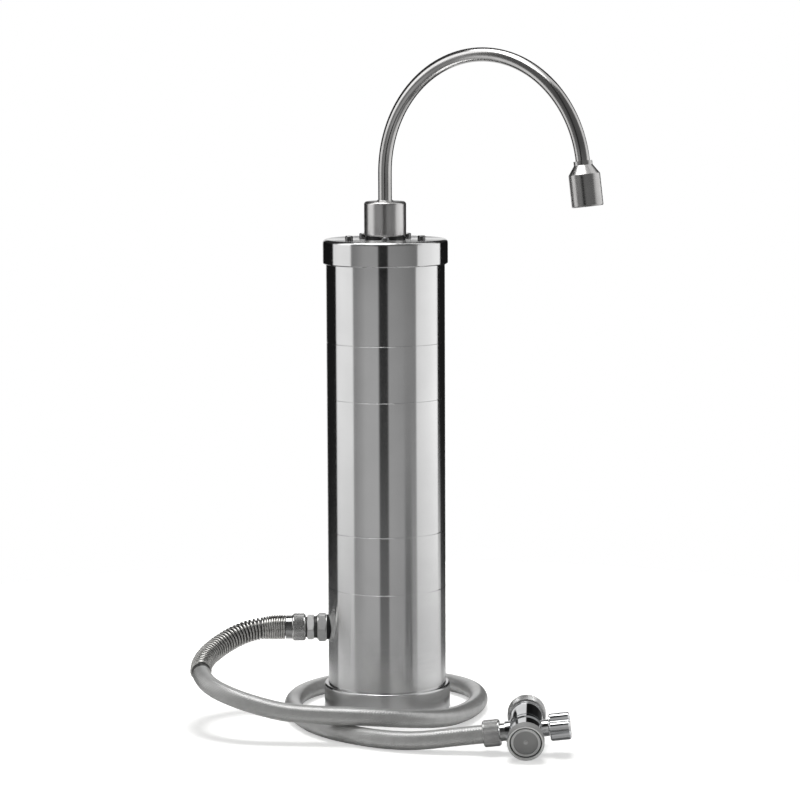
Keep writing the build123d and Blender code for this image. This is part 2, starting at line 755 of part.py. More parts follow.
def biarc(start, start_dir, end, end_dir):
    """Two tangent arcs that join two points with given directions."""
    span = end - start
    both = start_dir + end_dir
    square = 2 * (1 - start_dir.dot(end_dir))
    slope = span.dot(both)
    reach = (-slope + (slope**2 + square * span.dot(span)) ** (1 / 2)) / square
    first = start + start_dir * reach
    second = end - end_dir * reach
    middle = (first + second) / 2
    return [
        Edge.make_tangent_arc(start, start_dir, middle),
        Edge.make_tangent_arc(middle, second - first, end),
    ]


def bend_guard(line):
    """Bend guard: one wire, wound close at the sleeve and then open, straight at its two ends."""
    turns = GUARD_CLOSE_TURNS + GUARD_OPEN_TURNS
    steps = turns * BEND_STEPS_PER_TURN
    nudge = 1 / BEND_STEPS_PER_TURN / 100
    spots = [step / BEND_STEPS_PER_TURN for step in range(steps + 1)]
    points = [guard_point(line, spot) for spot in spots]
    headings = []
    for spot in spots:
        low = max(spot - nudge, 0)
        headings.append((guard_point(line, spot + nudge) - guard_point(line, low)).normalized())
    pieces = [Edge.make_line(points[0] - headings[0] * GUARD_WIRE_D, points[0])]
    for step in range(steps):
        pieces += biarc(points[step], headings[step], points[step + 1], headings[step + 1])
    pieces.append(Edge.make_line(points[-1], points[-1] + headings[-1] * GUARD_WIRE_D))
    wire = Wire(pieces)
    section = Plane(origin=wire @ 0, z_dir=wire % 0) * Circle(GUARD_WIRE_D / 2)
    print("bend guard, least gap between turns:", round(least_gap(line, turns), 2))
    return sweep(section, path=wire)


def least_gap(line, turns):
    """Least gap between neighbouring turns of the bend guard, measured on points of its wire."""
    fine = 6 * BEND_STEPS_PER_TURN
    points = [guard_point(line, step / fine) for step in range(turns * fine + 1)]
    gaps = []
    for number, point in enumerate(points):
        others = points[number + fine // 2:number + 2 * fine]
        gaps += [(other - point).length - GUARD_WIRE_D for other in others]
    return min(gaps)


def outlet_parts():
    """Front of the valve: the outlet ring holds the seal and the flow disc against the barrel."""
    lip_r = OUTLET_LIP_D / 2
    bore = OUTLET_BORE_D / 2
    outer = OUTLET_D / 2
    outlet = turned(
        (lip_r, OUTLET_LIP_T),
        (lip_r, OUTLET_CHAMFER),
        (lip_r + OUTLET_CHAMFER, 0),
        (outer - OUTLET_CHAMFER, 0),
        (outer, OUTLET_CHAMFER),
        (outer, OUTLET_H - OUTLET_CHAMFER),
        (outer - OUTLET_CHAMFER, OUTLET_H),
        (bore, OUTLET_H),
        (bore, OUTLET_LIP_T),
    )
    disc_r = bore - FIT_GAP
    rim_r = DISC_RIM_D / 2
    seal_back = OUTLET_LIP_T + OUTLET_SEAL_T
    seal = ring(disc_r, rim_r + FIT_GAP, OUTLET_LIP_T, seal_back)
    disc = cylinder(disc_r, seal_back, seal_back + DISC_T) + cylinder(rim_r, DISC_INSET, seal_back)
    disc -= ring(rim_r - DISC_RIM_W, DISC_NUB_D / 2, DISC_INSET - OVERRUN, DISC_INSET + DISC_DISH)
    return {"outlet_ring": outlet, "outlet_disc": disc, "outlet_seal": seal}


def valve_body():
    """Valve barrel: its double band, spigots for the outlet ring and the tap nut, a boss on either side."""
    barrel_low = OUTLET_H + FREE_GAP
    barrel_high = barrel_low + BARREL_H
    spigot_low = OUTLET_LIP_T + DISC_T + OUTLET_SEAL_T
    neck_high = barrel_high + TAP_NECK_H
    collar_high = neck_high + TAP_COLLAR_H
    band_low = barrel_low + BAND_RISE
    body = cylinder(OUTLET_BORE_D / 2 - FIT_GAP, spigot_low, barrel_low)
    shell = cylinder(BARREL_D / 2, barrel_low, barrel_high)
    shell = chamfer([rim(shell, barrel_low), rim(shell, barrel_high)], EDGE_BREAK)
    body += shell
    for rib_low in (band_low, band_low + BAND_STEP):
        body += cylinder(BAND_D / 2, rib_low, rib_low + BAND_RIB)
    body += cylinder(TAP_NECK_D / 2, barrel_high, neck_high)
    body += cylinder(TAP_COLLAR_D / 2, neck_high, collar_high)
    body = valve_frame * body
    body += hose_side * turned(
        (0, 0),
        (PORT_FLARE_D / 2, 0),
        (PORT_FLARE_D / 2, BARREL_D / 3),
        (PORT_D / 2, PORT_REACH),
        (0, PORT_REACH),
    )
    body += knob_side * cylinder(BUSH_D / 2, 0, BARREL_D / 2 + EDGE_BREAK)
    body -= valve_frame * cylinder(VALVE_BORE / 2, spigot_low - OVERRUN, collar_high + OVERRUN)
    body -= hose_side * cylinder(PORT_BORE / 2, 0, PORT_REACH + OVERRUN)
    body -= knob_side * cylinder(BUSH_D / 2 - EDGE_BREAK, BARREL_D / 2 - BUSH_IN, BARREL_D)
    body -= knob_side * cylinder(STEM_D / 2 + FREE_GAP, 0, BARREL_D)
    return body


def tap_parts():
    """Tap end of the valve: the swivel nut behind the barrel's collar, and its washer."""
    neck_low = OUTLET_H + FREE_GAP + BARREL_H
    collar_low = neck_low + TAP_NECK_H
    collar_high = collar_low + TAP_COLLAR_H
    nut_low = collar_low - FREE_GAP - TAP_NUT_FLANGE_T
    nut_high = nut_low + TAP_NUT_H
    thread_low = collar_high + TAP_WASHER_T
    relief_r = TAP_THREAD_D / 2 + TAP_RELIEF
    nut = knurl_blank(TAP_NUT_D / 2, nut_low, nut_high)
    nut -= cylinder(TAP_NECK_D / 2 + FREE_GAP, nut_low - OVERRUN, nut_high)
    nut -= cylinder(relief_r, nut_low + TAP_NUT_FLANGE_T, thread_low)
    nut -= cylinder(TAP_THREAD_D / 2, thread_low, nut_high + OVERRUN)
    washer_r = TAP_COLLAR_D / 2
    washer = ring(washer_r, washer_r - TAP_WASHER_W, collar_high, thread_low)
    return {"tap_nut": nut, "tap_washer": washer}


def hose_port_parts():
    """Hose port of the valve: the neck with its hose tail, and the nut that grips the hose."""
    nut_high = valve_nut_foot + VALVE_NUT_H
    tail_r = HOSE_TAIL_D / 2
    neck = cylinder(PORT_NECK_D / 2, PORT_REACH, neck_out) + cylinder(tail_r, neck_out, hose_end)
    neck -= cylinder(PORT_BORE / 2, PORT_REACH - OVERRUN, hose_end + OVERRUN)
    nut = knurl_blank(VALVE_NUT_D / 2, valve_nut_foot, nut_high)
    nut -= cylinder(tail_r + FIT_GAP, valve_nut_foot - OVERRUN, nut_high + OVERRUN)
    nut -= cylinder(PORT_NECK_D / 2 + FIT_GAP, valve_nut_foot - OVERRUN, neck_out + FIT_GAP)
    nut -= cylinder(HOSE_D / 2 + FREE_GAP, hose_end, nut_high + OVERRUN)
    return {"valve_neck": neck, "valve_hose_nut": nut}


def knob_parts():
    """Selector: the bush screwed into the barrel, the stem that turns in it and the lobed knob."""
    barrel_r = BARREL_D / 2
    stem_r = STEM_D / 2
    knob_low = BUSH_REACH + KNOB_GAP
    knob_high = knob_low + KNOB_H
    bush = cylinder(BUSH_D / 2, barrel_r + EDGE_BREAK, BUSH_REACH)
    bush += cylinder(BUSH_D / 2 - EDGE_BREAK - FIT_GAP, barrel_r - BUSH_IN, barrel_r + EDGE_BREAK)
    bush = chamfer(rim(bush, BUSH_REACH), EDGE_BREAK)
    bush -= cylinder(stem_r + RUN_GAP, 0, BUSH_REACH + OVERRUN)
    stem = cylinder(stem_r, STEM_IN, knob_low + STEM_GRIP)
    outline = Circle(KNOB_CORE_D / 2)
    for place in PolarLocations(KNOB_LOBE_OUT, KNOB_LOBES, start_angle=KNOB_PHASE):
        outline += place * Circle(KNOB_LOBE_D / 2)
    knob = extrude(Pos(0, 0, knob_low) * outline, amount=KNOB_H)
    ends = knob.edges().filter_by(GeomType.CIRCLE).group_by(Axis.Z)
    knob = chamfer(ends[0] + ends[-1], KNOB_EDGE_R)
    knob -= cylinder(stem_r + FIT_GAP, knob_low - OVERRUN, knob_low + STEM_GRIP)
    return {"stem_bush": bush, "valve_stem": stem, "valve_knob": knob}


def valve_parts():
    """Every piece of the diverter valve, placed where the valve lies."""
    placed = {"valve_body": valve_body()}
    for frame, parts in (
        (valve_frame, outlet_parts() | tap_parts()),
        (hose_side, hose_port_parts()),
        (knob_side, knob_parts()),
    ):
        for name, part in parts.items():
            placed[name] = frame * part
    return placed


def all_parts():
    """Every piece of the filter by name."""
    line = hose_line()
    print("hose radii:", [round(radius) for radius in corner_radii(hose_points())])
    print("hose length:", round(line.length, 1))
    return {
        "foot_pad": foot_pad(),
        "base_plinth": base_plinth(),
        "plinth_screws": plinth_screws(),
        **housing_sections(),
        "seam_rings": seam_rings(),
        **cartridge_parts(),
        "cap": cap(),
        "cap_seal": ring(tube_r, tube_r - CAP_SEAL_W, tube_top, cap_under),
        "cap_screws": cap_screws(),
        "head_gasket": head_gasket(),
        "head_plate": head_plate(),
        "cap_collar": cap_collar(),
        "hub_washer": ring(WASHER_D / 2, spigot_r + FREE_GAP, collar_top, hub_bottom),
        "spout_hub": spout_hub(),
        "spigot_seals": spigot_seals(),
        "spigot_clip": spigot_clip(),
        "spout_tube": spout_tube(),
        **nozzle_parts(),
        **inlet_parts(),
        "hose": hose(line),
        "bend_guard": bend_guard(line),
        **valve_parts(),
    }


os.makedirs("parts", exist_ok=True)
for name, part in all_parts().items():
    export_step(part, f"parts/{name}.step")
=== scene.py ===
import json
from math import atan2, cos, pi, radians, sin

import bmesh
import bpy
from mathutils import Matrix, Vector


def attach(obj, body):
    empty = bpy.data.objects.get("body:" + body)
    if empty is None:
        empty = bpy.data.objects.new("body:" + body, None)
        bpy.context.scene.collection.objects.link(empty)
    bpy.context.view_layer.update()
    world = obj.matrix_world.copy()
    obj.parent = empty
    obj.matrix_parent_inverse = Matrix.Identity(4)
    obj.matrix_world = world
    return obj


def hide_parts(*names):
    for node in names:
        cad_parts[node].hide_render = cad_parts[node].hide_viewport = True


# Countertop water filter: the CAD pieces get their finishes here, the hose and its bend guard get their
# full forms, and the knurled nuts get their knurls. Lengths are written in millimetres, and MM turns them
# to metres.
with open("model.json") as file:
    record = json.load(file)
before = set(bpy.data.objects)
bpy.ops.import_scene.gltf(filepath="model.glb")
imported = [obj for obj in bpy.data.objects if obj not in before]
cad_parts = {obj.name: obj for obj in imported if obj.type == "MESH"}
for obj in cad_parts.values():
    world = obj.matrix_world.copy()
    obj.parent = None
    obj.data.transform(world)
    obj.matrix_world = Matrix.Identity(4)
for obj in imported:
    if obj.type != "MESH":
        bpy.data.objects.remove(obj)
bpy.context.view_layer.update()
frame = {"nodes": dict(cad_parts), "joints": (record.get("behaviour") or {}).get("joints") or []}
nodes = frame["nodes"]
joints = {joint["name"]: joint for joint in frame["joints"]}
MM = 0.001
UP = Vector((0, 0, 1))

# Camera: place, lens and sensor in millimetres, angles in degrees
CAMERA_PLACE = (0, -2047.7, 485.2)
CAMERA_LENS = 123.75
CAMERA_SENSOR = 36
CAMERA_TILT = 6.970
CAMERA_TURN = 0.2946
CAMERA_ROLL = -0.231

# Hose: its diameter, its length, the fineness of its tube round and along it, and its route over the table
HOSE_D = 13.4
HOSE_SIDES = 28
HOSE_STEPS = 12
HOSE_ROUTE = [
    (-76.45, 0.0, 62.0),
    (-93.0, 0.0, 62.0),
    (-110.6, -5.1, 58.4),
    (-127.0, -19.0, 51.2),
    (-136.8, -38.6, 45.4),
    (-138.1, -61.0, 40.6),
    (-130.1, -82.0, 35.6),
    (-114.0, -97.6, 31.2),
    (-95.8, -105.4, 26.6),
    (-73.0, -109.4, 21.6),
    (-46.0, -112.4, 20.5),
    (-15.0, -114.8, 19.9),
    (15.0, -109.0, 16.6),
    (42.6, -83.4, 10.4),
    (61.4, -45.0, 7.4),
    (71.6, -5.0, 7.0),
    (64.4, 34.6, 7.0),
    (37.0, 61.6, 7.0),
    (-1.0, 68.6, 7.0),
    (-38.4, 55.4, 7.0),
    (-63.6, 25.6, 7.0),
    (-72.4, -12.0, 7.0),
    (-67.0, -53.0, 6.8),
    (-49.6, -93.6, 6.7),
    (-15.6, -123.6, 6.7),
    (10.0, -134.4, 6.8),
    (28.0, -138.8, 8.4),
    (44.1309, -140.0625, 10.6765),
    (70.8588, -142.2848, 13.7878),
]

# Braid of the hose: lean of its strands, their spacing and their relief, and the share of that relief in the
# under layer. Then painted shade on the skin under the bend guard: the share of the colour kept there, and
# how far along the hose it reaches.
BRAID_SLANT = 0.62
BRAID_STEP = 2
BRAID_DEPTH = 0.055
BRAID_UNDER = 0.35
HOSE_SHADE = 0.12
HOSE_SHADE_END = 104

# Rings of grey on turned pieces, each as a radius and the share of the colour from there outwards:
# middle, face and rim of the outlet's disc, face and side of its ring, and necks and flats of the inlet's
# two hexagons
DISC_RINGS = [(0, 0.85), (1.5, 0.5), (8.7, 0.97)]
# Painted shade: the outlet ring's side is darkened to 0.4 of its colour.
OUTLET_RINGS = [(0, 1), (12.7, 0.4)]
# Painted shade: the necks of both inlet hexagons are darkened to 0.12 of their colour.
ADAPTER_RINGS = [(0, 0.12), (8.4, 1)]
NIPPLE_RINGS = [(0, 0.12), (9.2, 1)]

# Way of the inlet fitting out of the wall
INLET_AXIS = Vector((-1, 0, 0))

# Bend guard: wire, where it starts, and its stretches as turns, step and diameter of the coil at the
# stretch's end
GUARD_WIRE_D = 1.8
GUARD_WIRE_SIDES = 10
GUARD_START = 0.9
GUARD_FIRST_D = 18.6
GUARD_STRETCHES = [
    (5, 1.81, 18.6),
    (4, 1.85, 16.9),
    (10, 2.93, 16.7),
    (17, 2.93, 15.6),
    (2, 1.81, 16),
]
GUARD_STEPS_PER_TURN = 24

# Knurls: width of one diamond and its height, on the nut at the inlet and on the nuts of the valve, and
# how far a band stays from the nut's ends and reaches into it
HOSE_NUT_KNURL = (1.25, 0.4)
VALVE_KNURL = (1.3, 0.3)
KNURL_MARGIN = 0.8
KNURL_ROOT = 0.5

# Studio: floor, and the ring of white, grey and black cards that the metal mirrors. Each band of cards
# stands at a height, and the ring blends from one band to the next. Each card edge is an angle in degrees
# from the camera's side, positive to the right, and a brightness.
FLOOR_R = 620
ROUND_SIDES = 96
CARDS_R = 500
CARDS_LOW = -400
CARDS_HIGH = 1200
LOW_CARDS = [
    (-180, 0.8),
    (-158, 0.8),
    (-156, 0.02),
    (-108.2, 0.03),
    (-106.6, 0.7),
    (-64.2, 0.66),
    (-62.4, 0.32),
    (-38, 0.49),
    (-13.4, 0.5),
    (-12.1, 0.18),
    (3.9, 0.18),
    (5.2, 0.45),
    (33, 0.42),
    (37, 0.1),
    (46, 0.1),
    (51, 0.38),
    (57.6, 0.38),
    (59.4, 0.68),
    (88, 0.8),
    (125, 0.92),
    (128, 0.06),
    (164, 0.02),
    (166, 0.8),
    (180, 0.8),
]
MIDDLE_CARDS = [
    (-180, 0.8),
    (-158, 0.8),
    (-156, 0.012),
    (-108.2, 0.012),
    (-106.6, 1.0),
    (-64.2, 0.92),
    (-62.4, 0.25),
    (-38, 0.46),
    (-13.4, 0.48),
    (-12.1, 0.012),
    (3.9, 0.012),
    (5.2, 0.39),
    (35, 0.34),
    (57.6, 0.24),
    (59.4, 0.86),
    (88, 1.02),
    (114.9, 1.2),
    (116.7, 0.013),
    (164, 0.013),
    (166, 0.8),
    (180, 0.8),
]
HIGH_CARDS = [
    (-180, 0.03),
    (-101, 0.03),
    (-96, 1.7),
    (-69, 1.7),
    (-65, 0.12),
    (-13, 0.12),
    (-12, 0.03),
    (4, 0.03),
    (5, 0.1),
    (66, 0.14),
    (73, 0.95),
    (108, 0.95),
    (114, 0.03),
    (180, 0.03),
]
# Further up, the cards that are no brighter than grey get darker
GREY_LIMIT = 0.6
GREY_SHARE = 0.6
UPPER_CARDS = [(at, level * GREY_SHARE if level < GREY_LIMIT else level) for at, level in MIDDLE_CARDS]
CARD_BANDS = [
    (0, LOW_CARDS),
    (150, MIDDLE_CARDS),
    (270, MIDDLE_CARDS),
    (330, UPPER_CARDS),
    (430, UPPER_CARDS),
    (500, HIGH_CARDS),
]
BASE_LEVEL = 0.1
LID_LEVEL = 0.2
# Overhead cards: how far they hang under the lid, then each one's reach along x and y, and its brightness
OVERHEAD_DROP = 5
OVERHEAD_CARDS = [
    ((-500, 70), (-420, 260), 4.2),
    ((70, 190), (-420, 260), 2.4),
    ((190, 480), (-300, 260), 0.9),
]

# How dull the floor is, how much it is lifted to white for the camera, and its veil in the metal: how
# clear it is far from the filter and close to it, and its grey close to the filter, in front and behind,
# the last two with their y
FLOOR_ROUGH = 0.7
FLOOR_LIFT = 0.5
VEIL_FAR_CLEAR = 0.68
VEIL_NEAR_CLEAR = 0.25
VEIL_NEAR = (240, 150)
VEIL_NEAR_GREY = 0.9
VEIL_FRONT = (-240, 0.1)
VEIL_BACK = (-60, 0.4)

# Lamp: a soft box over the filter, a little behind it
LAMP_PLACE = (0, 290, 1500)
LAMP_SIZE = (700, 500)
LAMP_WATTS = 16.7
SKY_LEVEL = 0.3

# Where in its noise a finish has its first and its second colour
TONE_STOPS = (0.35, 0.65)


def linear(code):
    """Linear colour of an sRGB hex code."""
    shares = [int(code[start:start + 2], 16) / 255 for start in (1, 3, 5)]
    levels = [share / 12.92 if share < 0.04045 else ((share + 0.055) / 1.055) ** 2.4 for share in shares]
    return levels + [1]


def add(tree, kind, settings=None, links=None):
    """One node with its settings; links gives each named or numbered input a socket or a value."""
    node = tree.nodes.new(kind)
    for name, value in (settings or {}).items():
        setattr(node, name, value)
    for name, value in (links or {}).items():
        if isinstance(value, bpy.types.NodeSocket):
            tree.links.new(value, node.inputs[name])
        else:
            node.inputs[name].default_value = value
    return node


def fill_ramp(ramp, levels):
    """Gives a colour ramp its greys, as (position, brightness)."""
    stops = ramp.color_ramp.elements
    while len(stops) < len(levels):
        stops.new(1)
    for stop, (position, level) in zip(stops, levels):
        stop.position = position
        stop.color = (level, level, level, 1)


def per_mm(size):
    """Pattern scale, in patterns to the metre, of a feature this many millimetres across."""
    return 1 / (size * MM)


def surface(name, colours, patch, grain, rough, depth=0, **sockets):
    """Principled material, with its even values on the shader's own sockets. Its tone drifts in patches
    between two colours, and its roughness and relief follow a finer grain. Patch, grain and depth are in
    millimetres, and the grain is given along x, y and z."""
    material = bpy.data.materials.new(name)
    material.use_nodes = True
    tree = material.node_tree
    shader = tree.nodes["Principled BSDF"]
    for socket, value in sockets.items():
        shader.inputs[socket.replace("_", " ")].default_value = value
    place = add(tree, "ShaderNodeTexCoord")
    drift = add(
        tree,
        "ShaderNodeTexNoise",
        None,
        {"Vector": place.outputs["Object"], "Scale": per_mm(patch), "Detail": 3},
    )
    tone = add(tree, "ShaderNodeValToRGB", None, {"Fac": drift.outputs["Fac"]})
    for stop, code, at in zip(tone.color_ramp.elements, colours, TONE_STOPS):
        stop.color = linear(code)
        stop.position = at
    tree.links.new(tone.outputs["Color"], shader.inputs["Base Color"])
    sized = add(
        tree,
        "ShaderNodeMapping",
        None,
        {"Vector": place.outputs["Object"], "Scale": [per_mm(size) for size in grain]},
    )
    fine = add(
        tree,
        "ShaderNodeTexNoise",
        None,
        {"Vector": sized.outputs["Vector"], "Scale": 1, "Detail": 3},
    )
    sheen = add(
        tree,
        "ShaderNodeMapRange",
        None,
        {"Value": fine.outputs["Fac"], "To Min": rough[0], "To Max": rough[1]},
    )
    tree.links.new(sheen.outputs["Result"], shader.inputs["Roughness"])
    if depth:
        bump = add(tree, "ShaderNodeBump", None, {"Height": fine.outputs["Fac"], "Distance": depth * MM})
        tree.links.new(bump.outputs["Normal"], shader.inputs["Normal"])
    return material


def turned_stainless(name, colours, rough, smear):
    """Stainless steel polished on the lathe: its hairlines run round the axis, so reflections stay sharp
    along them and smear across them. Real hairlines are about 0.1 mm; they are drawn at 1.2 mm."""
    material = surface(
        name, colours, patch=40, grain=(90, 90, 1.2), rough=rough, Metallic=1, Anisotropic=smear
    )
    tree = material.node_tree
    place = add(tree, "ShaderNodeTexCoord")
    around = add(
        tree,
        "ShaderNodeVectorMath",
        {"operation": "CROSS_PRODUCT"},
        {0: UP, 1: place.outputs["Object"]},
    )
    across = add(
        tree,
        "ShaderNodeVectorMath",
        {"operation": "CROSS_PRODUCT"},
        {0: around.outputs["Vector"], 1: place.outputs["Normal"]},
    )
    tree.links.new(across.outputs["Vector"], tree.nodes["Principled BSDF"].inputs["Tangent"])
    return material


def drawn_stainless(name, rough):
    """Drawn and satin polished stainless tube: a soft sheen with faint polishing patches."""
    colours = ("#bdbcbb", "#c8c7c6")
    return surface(name, colours, patch=14, grain=(1.2, 1.2, 1.2), rough=rough, depth=0.003, Metallic=1)


def satin_nickel(name, colours, rough):
    """Nickel plate over turned brass: a neutral grey, satin from the plating bath."""
    return surface(name, colours, patch=5, grain=(0.8, 0.8, 0.8), rough=rough, depth=0.006, Metallic=1)


def chrome_plate(name):
    """Bright chrome over brass: a mirror, with faint water marks that only dull it a little."""
    colours = ("#dedfe0", "#e8e9ea")
    return surface(name, colours, patch=12, grain=(9, 9, 9), rough=(0.02, 0.07), Metallic=1)


def spring_wire(name):
    """Bright drawn spring wire: fine draw marks along it catch the light."""
    return surface(
        name, ("#bdbcb9", "#d4d3d0"), patch=3, grain=(1, 1, 1), rough=(0.15, 0.28), Metallic=1
    )


def rubber(name, colours):
    """Moulded nitrile rubber: dull and a little dusty."""
    return surface(
        name,
        colours,
        patch=3,
        grain=(1.5, 1.5, 1.5),
        rough=(0.6, 0.8),
        depth=0.02,
        Specular_IOR_Level=0.4,
    )


def moulded_plastic(name, colours, rough):
    """Injection moulded acetal or polypropylene, with the faint orange peel of its mould."""
    return surface(name, colours, patch=9, grain=(0.7, 0.7, 0.7), rough=rough, depth=0.01, IOR=1.48)


def ring_tones(material, centre, axis, rings):
    """Multiplies the colour of a turned piece by a grey for each ring of radius about its axis; on the
    inlet's necks and the outlet ring's side this grey is painted shade.
    """
    tree = material.node_tree
    base = tree.nodes["Principled BSDF"].inputs["Base Color"]
    place = add(tree, "ShaderNodeTexCoord")
    offset = add(
        tree,
        "ShaderNodeVectorMath",
        {"operation": "SUBTRACT"},
        {0: place.outputs["Object"], 1: centre},
    )
    sweep = add(
        tree,
        "ShaderNodeVectorMath",
        {"operation": "CROSS_PRODUCT"},
        {0: offset.outputs["Vector"], 1: axis},
    )
    radius = add(tree, "ShaderNodeVectorMath", {"operation": "LENGTH"}, {0: sweep.outputs["Vector"]})
    reach = 2 * rings[-1][0]
    share = add(
        tree,
        "ShaderNodeMath",
        {"operation": "DIVIDE"},
        {0: radius.outputs["Value"], 1: reach * MM},
    )
    ringed = add(tree, "ShaderNodeValToRGB", None, {"Fac": share.outputs[0]})
    ringed.color_ramp.interpolation = "CONSTANT"
    fill_ramp(ringed, [(at / reach, level) for at, level in rings])
    toned = add(
        tree,
        "ShaderNodeVectorMath",
        {"operation": "MULTIPLY"},
        {0: base.links[0].from_socket, 1: ringed.outputs["Color"]},
    )
    tree.links.new(toned.outputs["Vector"], base)
    return material


def turned_disc(name, colours, rough):
    """Plastic disc faced on the lathe: its middle, face and rim show as rings of different greys."""
    return ring_tones(moulded_plastic(name, colours, rough), outlet_centre, outlet_axis, DISC_RINGS)


def neck_shaded_nickel(name, colours, rough, rings):
    """Nickel plated inlet fitting, with painted shade on its necks: their colour is darkened between the
    flats.
    """
    return ring_tones(satin_nickel(name, colours, rough), inlet_place, INLET_AXIS, rings)


def blasted_nickel(name, colours, rough):
    """Outlet ring of nickel plate over bead-blasted brass: fine pits on its face scatter the light of the
    whole studio, so it looks pale, and its side carries painted shade, its colour darkened to 0.4."""
    material = surface(
        name, colours, patch=5, grain=(0.8, 0.8, 0.8), rough=rough, depth=0.006, Metallic=0.3
    )
    return ring_tones(material, outlet_centre, outlet_axis, OUTLET_RINGS)


def pressed_carbon(name):
    """Pressed carbon block: black grains about a millimetre across."""
    return surface(name, ("#0d0d0d", "#2a2a2a"), patch=1, grain=(1, 1, 1), rough=(0.7, 0.95), depth=0.2)


def felt(name):
    """White needle felt, with its fibres pressed flat."""
    return surface(
        name,
        ("#dcdbd6", "#f1f0ec"),
        patch=1.5,
        grain=(0.6, 0.6, 0.6),
        rough=(0.85, 1),
        depth=0.15,
        Sheen_Weight=0.3,
    )


def braided_hose(name):
    """Grey hose with a silver braid under a clear skin. The strands cross at a slant, about 2 mm apart, and
    show where the light catches them. The first stretch, under the bend guard, has painted shade in its
    colour."""
    material = surface(
        name,
        ("#bebebd", "#c6c6c5"),
        patch=6,
        grain=(2, 2, 2),
        rough=(0.29, 0.36),
        Metallic=0.5,
        Coat_Weight=0.45,
        Coat_Roughness=0.22,
    )
    tree = material.node_tree
    place = add(tree, "ShaderNodeTexCoord")
    split = add(tree, "ShaderNodeSeparateXYZ", None, {"Vector": place.outputs["UV"]})
    weaves = []
    for slant in (BRAID_SLANT, -BRAID_SLANT):
        shifted = add(
            tree,
            "ShaderNodeMath",
            {"operation": "MULTIPLY_ADD"},
            {0: split.outputs["Y"], 1: slant, 2: split.outputs["X"]},
        )
        wave = add(
            tree,
            "ShaderNodeMath",
            {"operation": "MULTIPLY"},
            {0: shifted.outputs[0], 1: 2 * pi / BRAID_STEP},
        )
        weaves.append(add(tree, "ShaderNodeMath", {"operation": "SINE"}, {0: wave.outputs[0]}))
    crossing = add(
        tree,
        "ShaderNodeMath",
        {"operation": "MULTIPLY_ADD"},
        {0: weaves[1].outputs[0], 1: BRAID_UNDER, 2: weaves[0].outputs[0]},
    )
    # Painted shade: up to HOSE_SHADE_END mm along the hose, under the bend guard, the skin's colour is
    # darkened to HOSE_SHADE.
    past = add(
        tree,
        "ShaderNodeMath",
        {"operation": "GREATER_THAN"},
        {0: split.outputs["X"], 1: HOSE_SHADE_END},
    )
    lit = add(
        tree,
        "ShaderNodeMapRange",
        None,
        {"Value": past.outputs[0], "To Min": HOSE_SHADE, "To Max": 1},
    )
    base = tree.nodes["Principled BSDF"].inputs["Base Color"]
    toned = add(
        tree,
        "ShaderNodeVectorMath",
        {"operation": "SCALE"},
        {0: base.links[0].from_socket, "Scale": lit.outputs["Result"]},
    )
    tree.links.new(toned.outputs["Vector"], base)
    bump = add(
        tree,
        "ShaderNodeBump",
        None,
        {"Height": crossing.outputs[0], "Distance": BRAID_DEPTH * MM},
    )
    tree.links.new(bump.outputs["Normal"], tree.nodes["Principled BSDF"].inputs["Normal"])
    return material


outlet_centre = Vector(joints["tap_nut_turn"]["pos_m"])
outlet_axis = Vector(joints["tap_nut_turn"]["axis"]).normalized()
inlet_place = Vector(HOSE_ROUTE[0]) * MM
housing_steel = turned_stainless("polished_stainless_tube", ("#dcdcdc", "#e2e2e2"), (0.17, 0.21), 1)
cap_steel = turned_stainless("polished_stainless_cap", ("#dadada", "#e0e0e0"), (0.16, 0.2), 1)
plinth_steel = turned_stainless("satin_stainless_plinth", ("#d2d2d2", "#d8d8d8"), (0.22, 0.28), 0.5)
hub_steel = turned_stainless("satin_stainless_hub", ("#cdcccb", "#d6d5d4"), (0.28, 0.34), 0.4)
# Painted shade: the screws' stainless is darkened to a dark grey.
screw_steel_painted_shade = turned_stainless("stainless_screws_painted_shade", ("#727272", "#7e7e7e"), (0.12, 0.2), 0.3)
spout_steel = drawn_stainless("satin_stainless_spout", (0.13, 0.2))
nozzle_steel = drawn_stainless("satin_stainless_nozzle", (0.22, 0.3))
fitting_nickel = satin_nickel("satin_nickel_fittings", ("#c8c8c7", "#d4d4d3"), (0.16, 0.24))
sleeve_nickel = satin_nickel("satin_nickel_sleeve", ("#a8a8a7", "#b4b4b3"), (0.14, 0.2))
adapter_nickel = neck_shaded_nickel("matt_nickel_adapter", ("#f0f0ef", "#f8f8f7"), (0.5, 0.6), ADAPTER_RINGS)
nut_nickel = neck_shaded_nickel("satin_nickel_lock_nut", ("#d2d2d1", "#dcdcdb"), (0.42, 0.5), NIPPLE_RINGS)
hose_nut_nickel = satin_nickel("knurled_nickel_hose_nut", ("#c0c0bf", "#cececd"), (0.08, 0.13))
valve_nut_nickel = satin_nickel("knurled_nickel_valve_nut", ("#c4c4c3", "#d0d0cf"), (0.2, 0.28))
tap_nickel = satin_nickel("knurled_nickel_tap_nut", ("#aeaead", "#bababa"), (0.22, 0.3))
valve_chrome = chrome_plate("bright_chrome_valve")
guard_wire = spring_wire("bright_spring_wire")
black_rubber = rubber("black_nitrile_rubber", ("#121212", "#1e1e1e"))
white_plastic = moulded_plastic("white_polypropylene", ("#dddcd6", "#e8e7e2"), (0.4, 0.55))
grey_plastic = moulded_plastic("grey_acetal", ("#6a6a6b", "#747475"), (0.35, 0.5))
# Painted shade: the cap collar is coloured black for the shaded gap between hub and cap.
collar_painted_shade = moulded_plastic("painted_shade_black_collar", ("#141414", "#1c1c1c"), (0.3, 0.45))
disc_plastic = turned_disc("faced_grey_disc", ("#cccccc", "#d4d4d4"), (0.35, 0.5))
ring_nickel = blasted_nickel("blasted_nickel_outlet_ring", ("#f0f0ef", "#f8f8f7"), (0.5, 0.6))
carbon = pressed_carbon("pressed_carbon_block")
wrap_felt = felt("white_filter_felt")
hose_skin = braided_hose("braided_grey_hose")

